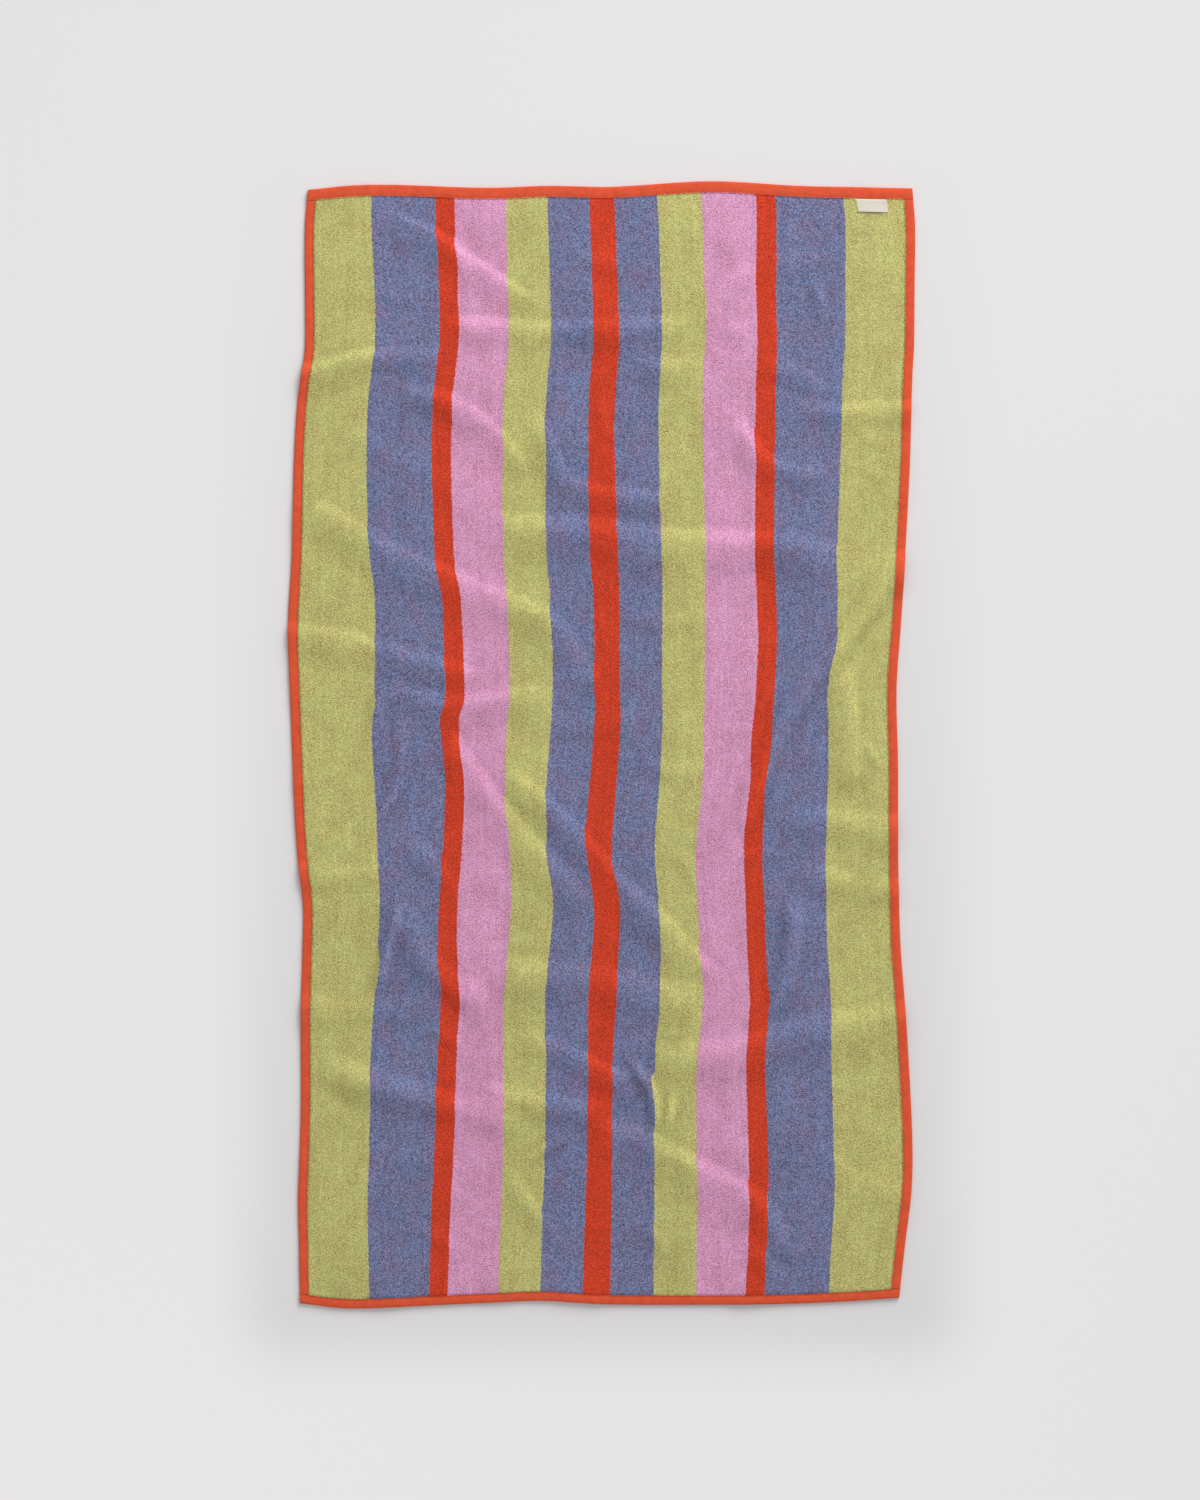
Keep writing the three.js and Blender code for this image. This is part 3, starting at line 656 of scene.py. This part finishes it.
def strew(name, material, centres, headings, sizes, coordinates):
    """Copies of one small rounded lump as a single mesh, each at its centre, heading and size."""
    bm = bmesh.new()
    bmesh.ops.create_icosphere(bm, subdivisions=1, radius=1)
    lump = np.array([vert.co[:] for vert in bm.verts])
    faces = np.array([[vert.index for vert in face.verts] for face in bm.faces])
    bm.free()
    ahead = headings / np.linalg.norm(headings, axis=1, keepdims=True)
    beside = np.cross([0, 0, 1], ahead)
    beside /= np.linalg.norm(beside, axis=1, keepdims=True)
    above = np.cross(ahead, beside)
    points = sum(
        axis[:, None, :] * (lump[None, :, k] * sizes[:, k, None])[:, :, None]
        for k, axis in enumerate((ahead, beside, above))
    )
    points = (points + centres[:, None, :]).reshape(-1, 3)
    copies = (faces[None] + (np.arange(len(centres)) * len(lump))[:, None, None]).reshape(-1, 3)
    mesh = bpy.data.meshes.new(name)
    mesh.from_pydata(points.tolist(), [], copies.tolist())
    layer = mesh.uv_layers.new(name="cloth")
    off_centre = points - np.repeat(centres, len(lump), axis=0)
    spread = np.repeat(coordinates, len(lump), axis=0) + off_centre[:, :2]
    layer.uv.foreach_set("vector", np.float32(spread[copies.ravel()]).ravel())
    mesh.shade_smooth()
    mesh.materials.append(material)
    piece = bpy.data.objects.new(name, mesh)
    bpy.context.scene.collection.objects.link(piece)
    return piece


# Each band: its name, its width, where along the edge it starts and ends, the edge's length, and how a share
# along the edge and a distance in from it give a place on the cloth.
SIDE_START = (HEAD_BAND + GAP) / PLAN_LENGTH
SIDE_END = 1 - (FOOT_BAND + GAP) / PLAN_LENGTH
BANDS = [
    ("head_tape", HEAD_BAND, 0, 1, TOWEL_WIDTH, lambda far, inward: (far, inward / PLAN_LENGTH)),
    ("foot_tape", FOOT_BAND, 0, 1, TOWEL_WIDTH, lambda far, inward: (far, 1 - inward / PLAN_LENGTH)),
    (
        "left_tape", SIDE_BAND, SIDE_START, SIDE_END, PLAN_LENGTH,
        lambda far, inward: (inward / TOWEL_WIDTH, far),
    ),
    (
        "right_tape", SIDE_BAND, SIDE_START, SIDE_END, PLAN_LENGTH,
        lambda far, inward: (1 - inward / TOWEL_WIDTH, far),
    ),
]


def beside_bands(spacing, inset, jitter, trim):
    """Places along all four bands at a distance in from the band's inner line, with the way each one points
    and its place on the cloth."""
    centres, headings, coordinates = [], [], []
    for _, band, start, end, length, place_of in BANDS:
        first, last = (start, end) if length == PLAN_LENGTH else (trim / length, 1 - trim / length)
        far = np.arange(first + spacing / length / 2, last, spacing / length)
        far = far + rng.uniform(-jitter, jitter, len(far)) / length
        inward = band + inset(len(far))
        across, along = place_of(far, inward)
        next_across, next_along = place_of(far + 1 * MM / length, inward)
        here, there = points_at(across, along, 0), points_at(next_across, next_along, 0)
        centres.append(here)
        headings.append(there - here)
        coordinates.append(np.stack([across * TOWEL_WIDTH, along * TOWEL_LENGTH], 1))
    return np.concatenate(centres), np.concatenate(headings), np.concatenate(coordinates)


def stitches(material):
    """The seam of each band: thread lying in its row of dimples."""
    centres, headings, coordinates = beside_bands(
        STITCH, lambda n: np.full(n, -STITCH_IN_FROM_LIP), 0, STITCH
    )
    centres[:, 2] += TAPE_HEIGHT - 0.1 * MM
    sizes = np.tile(np.array(THREAD_HALF_SIZES) * MM, (len(centres), 1))
    return strew("seam_thread", material, centres, headings, sizes, coordinates)


def pile_edge(material):
    """The last loops of pile beside each band, some leaning out over the tape. None is under the label."""
    rows = []
    for spacing, inset, heights in EDGE_LOOPS:
        centres, headings, coordinates = beside_bands(
            spacing * MM, lambda n: rng.uniform(*inset, n) * MM, 0.5 * MM, SIDE_BAND
        )
        centres[:, 2] += rng.uniform(*heights, len(centres)) * MM
        headings = headings + rng.normal(0, 0.35 * MM, headings.shape) * np.array([1, 1, 0.3])
        sizes = rng.uniform(0.75, 1.25, (len(centres), 1)) * np.array(LOOP_HALF_SIZES) * MM
        share = coordinates[:, 0] / TOWEL_WIDTH
        clear = (share < LABEL_FROM) | (share > LABEL_TO) | (coordinates[:, 1] > HEAD_BAND + LABEL_DROP)
        rows.append([values[clear] for values in (centres, headings, sizes, coordinates)])
    return strew("pile_edge", material, *(np.concatenate(column) for column in zip(*rows)))


def blank_label(material):
    """The label, folded double. It comes out from under the head tape and climbs on to the pile."""
    bm = bmesh.new()
    made = bmesh.ops.create_grid(bm, x_segments=26, y_segments=16, size=1)
    side, down = grid_places(made["verts"])
    drop = HEAD_BAND + GAP + LABEL_DROP * down
    across = LABEL_FROM + (LABEL_TO - LABEL_FROM) * side + LABEL_SKEW * down
    climb = smooth(down * LABEL_DROP / LABEL_CLIMBS_OVER)
    bow = LABEL_BOW * np.cos((side - 0.45) * math.pi * 1.5) * down
    height = LABEL_LIES_AT + LABEL_CLIMB * climb + LABEL_LIFT * down**2 + bow
    along = drop / PLAN_LENGTH
    move_to(made["verts"], points_at(across, along, height))
    coordinates = np.stack([side * (LABEL_TO - LABEL_FROM) * TOWEL_WIDTH, down * LABEL_DROP], 1)
    bm.verts.index_update()
    piece = finished("label_tab", bm, material, coordinates)
    leaf = piece.modifiers.new("thickness", "SOLIDIFY")
    leaf.thickness, leaf.offset = LABEL_THICK, 1
    edge = piece.modifiers.new("soft edge", "BEVEL")
    edge.width, edge.segments, edge.limit_method = 0.15 * MM, 2, "ANGLE"
    return piece


# Materials

def linear(colour):
    """An sRGB hex colour as linear values."""
    parts = [int(colour[i : i + 2], 16) / 255 for i in (1, 3, 5)]
    return (*(part / 12.92 if part <= 0.04045 else ((part + 0.055) / 1.055) ** 2.4 for part in parts), 1.0)


def add(tree, kind, settings=None, links=None):
    """A node with its settings and links. Sockets are named by their capitals or their number."""
    node = tree.nodes.new(kind)
    for name, value in (settings or {}).items():
        if isinstance(name, int) or name[0].isupper():
            node.inputs[name].default_value = value
        else:
            setattr(node, name, value)
    for name, source in (links or {}).items():
        tree.links.new(source, node.inputs[name])
    return node


def cloth_material(name, roughness, sheen):
    """A plain cotton surface, its tree, and its places on the cloth: matt, with the bloom of loose fibres."""
    material = bpy.data.materials.new(name)
    material.use_nodes = True
    tree = material.node_tree
    surface = tree.nodes["Principled BSDF"]
    surface.inputs["Roughness"].default_value = roughness
    surface.inputs["Specular IOR Level"].default_value = 0.15
    surface.inputs["Sheen Weight"].default_value = sheen
    surface.inputs["Sheen Roughness"].default_value = 0.45
    cloth = add(tree, "ShaderNodeUVMap", {"uv_map": "cloth"}).outputs[0]
    return material, tree, surface, cloth


def maths(tree, operation, *values):
    """An arithmetic node on numbers and other nodes' sockets, in their order."""
    plain = {i: value for i, value in enumerate(values) if not hasattr(value, "is_linked")}
    linked = {i: value for i, value in enumerate(values) if hasattr(value, "is_linked")}
    return add(tree, "ShaderNodeMath", {"operation": operation, **plain}, linked).outputs[0]


def noise(tree, cloth, across, along, detail=2.0, roughness=0.5):
    """Soft blotches, of a size across the towel and one along it."""
    size = add(tree, "ShaderNodeMapping", {"Scale": (1 / across, 1 / along, 1)}, {0: cloth}).outputs[0]
    settings = {"noise_dimensions": "2D", "Scale": 1.0, "Detail": detail, "Roughness": roughness}
    return add(tree, "ShaderNodeTexNoise", settings, {"Vector": size}).outputs[0]


def spread(tree, value, low, high, to_low, to_high):
    """A value moved from one range to another, and kept inside it."""
    ranges = {1: low, 2: high, 3: to_low, 4: to_high}
    return add(tree, "ShaderNodeMapRange", ranges, {0: value}).outputs[0]


def one_colour(tree, colour):
    node = add(tree, "ShaderNodeRGB")
    node.outputs[0].default_value = linear(colour)
    return node.outputs[0]


def dye(tree, surface, colour, tones):
    """The surface's colour, made lighter and darker by each of the tones."""
    tone = tones[0]
    for more in tones[1:]:
        tone = maths(tree, "MULTIPLY", tone, more)
    toned = add(tree, "ShaderNodeVectorMath", {"operation": "SCALE"}, {0: colour, "Scale": tone}).outputs[0]
    tree.links.new(toned, surface.inputs["Base Color"])


def emboss(tree, surface, height, strength, depth):
    """The surface's fine relief."""
    bump = add(tree, "ShaderNodeBump", {"Strength": strength, "Distance": depth}, {"Height": height})
    tree.links.new(bump.outputs[0], surface.inputs["Normal"])


def stripe_yarns(tree, place, yarn_of):
    """The colour and the mottle of a stripe's yarn, at a share of the towel's width."""
    ramp = add(tree, "ShaderNodeValToRGB", links={0: place})
    ramp.color_ramp.interpolation = "CONSTANT"
    edges = np.concatenate([[0], np.cumsum([width for width, _ in STRIPES])])[:-1] * MM / TOWEL_WIDTH
    elements = ramp.color_ramp.elements
    while len(elements) < len(STRIPES):
        elements.new(0.5)
    for element, edge, (_, yarn) in zip(elements, edges, STRIPES):
        element.position = edge
        element.color = (*linear(YARNS[yarn_of(yarn)])[:3], MOTTLE[yarn_of(yarn)])
    return ramp.outputs


def terry_material():
    """Cotton terry, woven from two warps: a matt pile of loops that scatter light, with dark pits between
    them where the ground weave shows. Each loop's sides are painted darker as painted shade, each crest paler
    as a painted highlight, and each hollow darker as painted shade."""
    material, tree, surface, cloth = cloth_material("cotton_terry", 0.95, 0.12)
    place = add(tree, "ShaderNodeSeparateXYZ", links={0: cloth})

    # Loops lean and curl, so none of them is round.
    curls = {"noise_dimensions": "2D", "Scale": 1 / CURL}
    wander = add(tree, "ShaderNodeTexNoise", curls, {"Vector": cloth}).outputs[1]
    by_curl = {"operation": "MULTIPLY_ADD", 1: (CURL, CURL, 0)}
    curled = add(tree, "ShaderNodeVectorMath", by_curl, {0: wander, 2: cloth}).outputs[0]
    loops = add(
        tree, "ShaderNodeTexVoronoi",
        {"voronoi_dimensions": "2D", "Scale": 1 / LOOP_PITCH, "Randomness": 1.0}, {"Vector": curled},
    )
    draw = add(tree, "ShaderNodeSeparateColor", links={0: loops.outputs["Color"]})

    # A loop is wholly one yarn, so a stripe's edge runs loop by loop.
    jog = maths(tree, "MULTIPLY", maths(tree, "SUBTRACT", draw.outputs[2], 0.5), LOOP_PITCH)
    drawn = add(tree, "ShaderNodeAttribute", {"attribute_name": "drawn"}).outputs["Fac"]
    across = maths(tree, "ADD", maths(tree, "ADD", place.outputs[0], jog), drawn)
    share = maths(tree, "DIVIDE", across, TOWEL_WIDTH)
    face = stripe_yarns(tree, share, lambda yarn: yarn)
    back = stripe_yarns(tree, share, lambda yarn: OTHER_FACE[yarn])
    turned = add(tree, "ShaderNodeAttribute", {"attribute_name": "reverse"}).outputs["Fac"]
    pile = add(tree, "ShaderNodeMix", {"data_type": "RGBA"}, {0: turned, 6: face[0], 7: back[0]}).outputs[2]
    mottle = add(tree, "ShaderNodeMix", links={0: turned, 2: face[1], 3: back[1]}).outputs[0]

    # The ground weave shows in the pits, and more of it in patches where the pile has been laid aside.
    patches = spread(tree, noise(tree, cloth, 26 * MM, 34 * MM, 4, 0.65), 0.35, 0.7, 0.05, 0.5)
    pit = spread(tree, loops.outputs["Distance"], 0.3, 0.8, 0.0, 1.0)
    bare = maths(tree, "MULTIPLY", patches, maths(tree, "ADD", pit, 0.08))
    ground = {"data_type": "RGBA", 7: linear(GROUND_YARN)}
    colour = add(tree, "ShaderNodeMix", ground, {0: bare, 6: pile}).outputs[2]

    # A loop is painted paler on top and darker at its sides, a painted shade, and one loop is paler than the
    # next. Close and wide streaks run along the warp, with broad patches under them.
    # Painted shade: each loop darker at its sides than on its top.
    top = spread(tree, loops.outputs["Distance"], 0.1, 0.85, 1.2, 0.66)
    draw_of_tone = spread(tree, draw.outputs[1], 0.0, 1.0, -1.0, 1.0)
    of_loop = maths(tree, "MULTIPLY_ADD", mottle, draw_of_tone, 1.0)
    close_streaks = spread(tree, noise(tree, cloth, 4 * MM, 110 * MM, 3, 0.6), 0.3, 0.7, 0.95, 1.05)
    wide_streaks = spread(tree, noise(tree, cloth, 14 * MM, 260 * MM, 2, 0.6), 0.3, 0.7, 0.97, 1.03)
    broad = spread(tree, noise(tree, cloth, 70 * MM, 110 * MM), 0.3, 0.7, 0.97, 1.03)
    # Painted highlight on crests and painted shade in hollows, from how sharply the face bends.
    bend = add(tree, "ShaderNodeAttribute", {"attribute_name": "crest"}).outputs["Fac"]
    painted_crest_and_hollow_light = spread(tree, bend, *CREST_BENDS, *CREST_AND_HOLLOW_PAINTED_LIGHT)
    dye(tree, surface, colour, (top, of_loop, close_streaks, wide_streaks, broad, painted_crest_and_hollow_light))

    domes = maths(tree, "SUBTRACT", 1.0, loops.outputs["Distance"])
    lumps = noise(tree, cloth, CLUMP_PITCH, CLUMP_PITCH, 3, 0.7)
    clumps = maths(tree, "MULTIPLY_ADD", lumps, CLUMP_SHARE, domes)
    height = maths(tree, "MULTIPLY_ADD", noise(tree, cloth, FIBRES, FIBRES, 2, 0.6), FIBRE_SHARE, clumps)
    emboss(tree, surface, height, 0.55, LOOP_RELIEF)
    return material


def tape_material():
    """Plain-woven cotton tape: smoother and brighter than pile, with close ribs across it."""
    material, tree, surface, cloth = cloth_material("woven_cotton_tape", 0.85, 0.15)
    place = add(tree, "ShaderNodeSeparateXYZ", links={0: cloth})
    ribs = maths(tree, "SINE", maths(tree, "MULTIPLY", place.outputs[0], 2 * math.pi / TAPE_RIB))
    threads = maths(tree, "SINE", maths(tree, "MULTIPLY", place.outputs[1], 2 * math.pi / TAPE_THREAD))
    weave = maths(tree, "MULTIPLY", ribs, maths(tree, "ADD", maths(tree, "MULTIPLY", threads, 0.35), 0.65))
    faded = spread(tree, noise(tree, cloth, TAPE_FADES, TAPE_FADES, 4, 0.6), 0.3, 0.7, 0.9, 1.07)
    lines = spread(tree, weave, -1.0, 1.0, 0.93, 1.04)
    dye(tree, surface, one_colour(tree, TAPE_COLOUR), (faded, lines))
    emboss(tree, surface, weave, 0.4, 0.25 * MM)
    return material


def thread_material():
    """Twisted cotton sewing thread: a touch darker than the tape it sinks into."""
    material, tree, surface, cloth = cloth_material("cotton_thread", 0.7, 0.1)
    twist = spread(tree, noise(tree, cloth, THREAD_TWIST, THREAD_TWIST), 0.3, 0.7, 0.75, 1.1)
    dye(tree, surface, one_colour(tree, THREAD_COLOUR), (twist,))
    return material


def label_material():
    """Satin-woven label tape: smooth and faintly glossy, with a fine lengthwise grain."""
    material, tree, surface, cloth = cloth_material("woven_satin_label", 0.6, 0.1)
    grain = noise(tree, cloth, LABEL_GRAIN_ACROSS, LABEL_GRAIN_ALONG)
    dye(tree, surface, one_colour(tree, LABEL_COLOUR), (spread(tree, grain, 0.3, 0.7, 0.93, 1.04),))
    emboss(tree, surface, grain, 0.3, 0.15 * MM)
    return material


def floor_material():
    """A smooth pale painted board, matt. Away from the towel it is painted paler towards the foot, where less
    light falls, as painted light. Beside the towel it stays darker, a painted shadow round the towel.
    """
    material = bpy.data.materials.new("pale_board_painted_light")
    material.use_nodes = True
    tree = material.node_tree
    surface = tree.nodes["Principled BSDF"]
    surface.inputs["Roughness"].default_value = 0.9
    surface.inputs["Specular IOR Level"].default_value = 0.1
    spot = add(tree, "ShaderNodeTexCoord").outputs["Object"]
    place = add(tree, "ShaderNodeSeparateXYZ", links={0: spot})
    # Distance from the towel: beside it the board keeps one darker tone, a painted shadow.
    off = [
        maths(tree, "MAXIMUM", maths(tree, "SUBTRACT", maths(tree, "ABSOLUTE", place.outputs[k]), half), 0.0)
        for k, half in enumerate((TOWEL_WIDTH / 2, PLAN_LENGTH / 2))
    ]
    squares = [maths(tree, "POWER", distance, 2.0) for distance in off]
    away = maths(tree, "SQRT", maths(tree, "ADD", *squares))
    softly = {"interpolation_type": "SMOOTHSTEP", 1: -0.01, 2: PAINTED_SHADOW_CLEARS_OVER, 3: 0.0, 4: 1.0}
    clear = add(tree, "ShaderNodeMapRange", softly, {0: away}).outputs[0]
    # Further off, painted paler towards the foot as painted light, to even out the lamp's fall-off.
    ends = spread(tree, place.outputs[1], -1.0, 1.0, FLOOR_FOOT, FLOOR_HEAD)
    ahead = add(tree, "ShaderNodeMix", {2: FLOOR_IN_PAINTED_SHADOW}, {0: clear, 3: ends}).outputs[0]
    aside = spread(tree, place.outputs[0], -0.75, 0.75, FLOOR_LEFT, FLOOR_RIGHT)
    tone = maths(tree, "MULTIPLY", ahead, aside)
    parts = {k: maths(tree, "MULTIPLY", tone, share) for k, share in enumerate(FLOOR_TINT)}
    tint = add(tree, "ShaderNodeCombineColor", links=parts)
    tree.links.new(tint.outputs[0], surface.inputs["Base Color"])
    return material


# Camera, light and floor

def camera():
    """Straight above the middle of the picture, far enough away for the picture's height to fill the film."""
    x, y = on_floor(PICTURE_SIZE[0] / 2, PICTURE_SIZE[1] / 2)
    data = bpy.data.cameras.new("camera")
    data.sensor_fit, data.sensor_height, data.lens = "VERTICAL", FILM_HEIGHT, CAMERA_LENS
    data.clip_end = 100
    eye = bpy.data.objects.new("camera", data)
    eye.location = (x, y, PICTURE_SIZE[1] * PIXEL * CAMERA_LENS / FILM_HEIGHT)
    bpy.context.scene.collection.objects.link(eye)
    bpy.context.scene.camera = eye


def surroundings():
    """An even pale room, and one large soft light beyond the towel's head, a little to the right and not high
    up. It is near enough for the head to be brighter than the foot."""
    world = bpy.data.worlds.new("soft room")
    world.use_nodes = True
    world.node_tree.nodes["Background"].inputs[0].default_value = (1, 1, 1, 1)
    world.node_tree.nodes["Background"].inputs[1].default_value = ROOM_LIGHT
    bpy.context.scene.world = world
    data = bpy.data.lights.new("softbox", "AREA")
    data.energy, data.shape, data.size = SOFTBOX_POWER, "SQUARE", SOFTBOX_SIZE
    lamp = bpy.data.objects.new("softbox", data)
    up, turn = math.radians(SOFTBOX_ELEVATION), math.radians(SOFTBOX_TURN)
    towards = Vector((math.cos(up) * math.sin(turn), math.cos(up) * math.cos(turn), math.sin(up)))
    lamp.location = towards * SOFTBOX_DISTANCE
    lamp.rotation_euler = towards.to_track_quat("Z", "Y").to_euler()
    lamp.visible_camera = False
    bpy.context.scene.collection.objects.link(lamp)
    bm = bmesh.new()
    bmesh.ops.create_grid(bm, x_segments=1, y_segments=1, size=FLOOR_HALF)
    finished("floor", bm, floor_material())


bpy.context.scene.view_settings.view_transform = "Standard"
camera()
surroundings()

terry_yarn = terry_material()
tape_cotton = tape_material()
terry = terry_panel(terry_yarn)
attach(terry, "root")
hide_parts("terry_panel")

for tape_name, band, start, end, length, place_of in BANDS:
    tape = folded_tape("folded_" + tape_name, tape_cotton, band, start, end, place_of, length)
    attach(tape, "root")
    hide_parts(tape_name)

for trim, slot in (
    (stitches(thread_material()), "tape"),
    (pile_edge(terry_yarn), "terry"),
    (blank_label(label_material()), "label"),
):
    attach(trim, "root")
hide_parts("label")
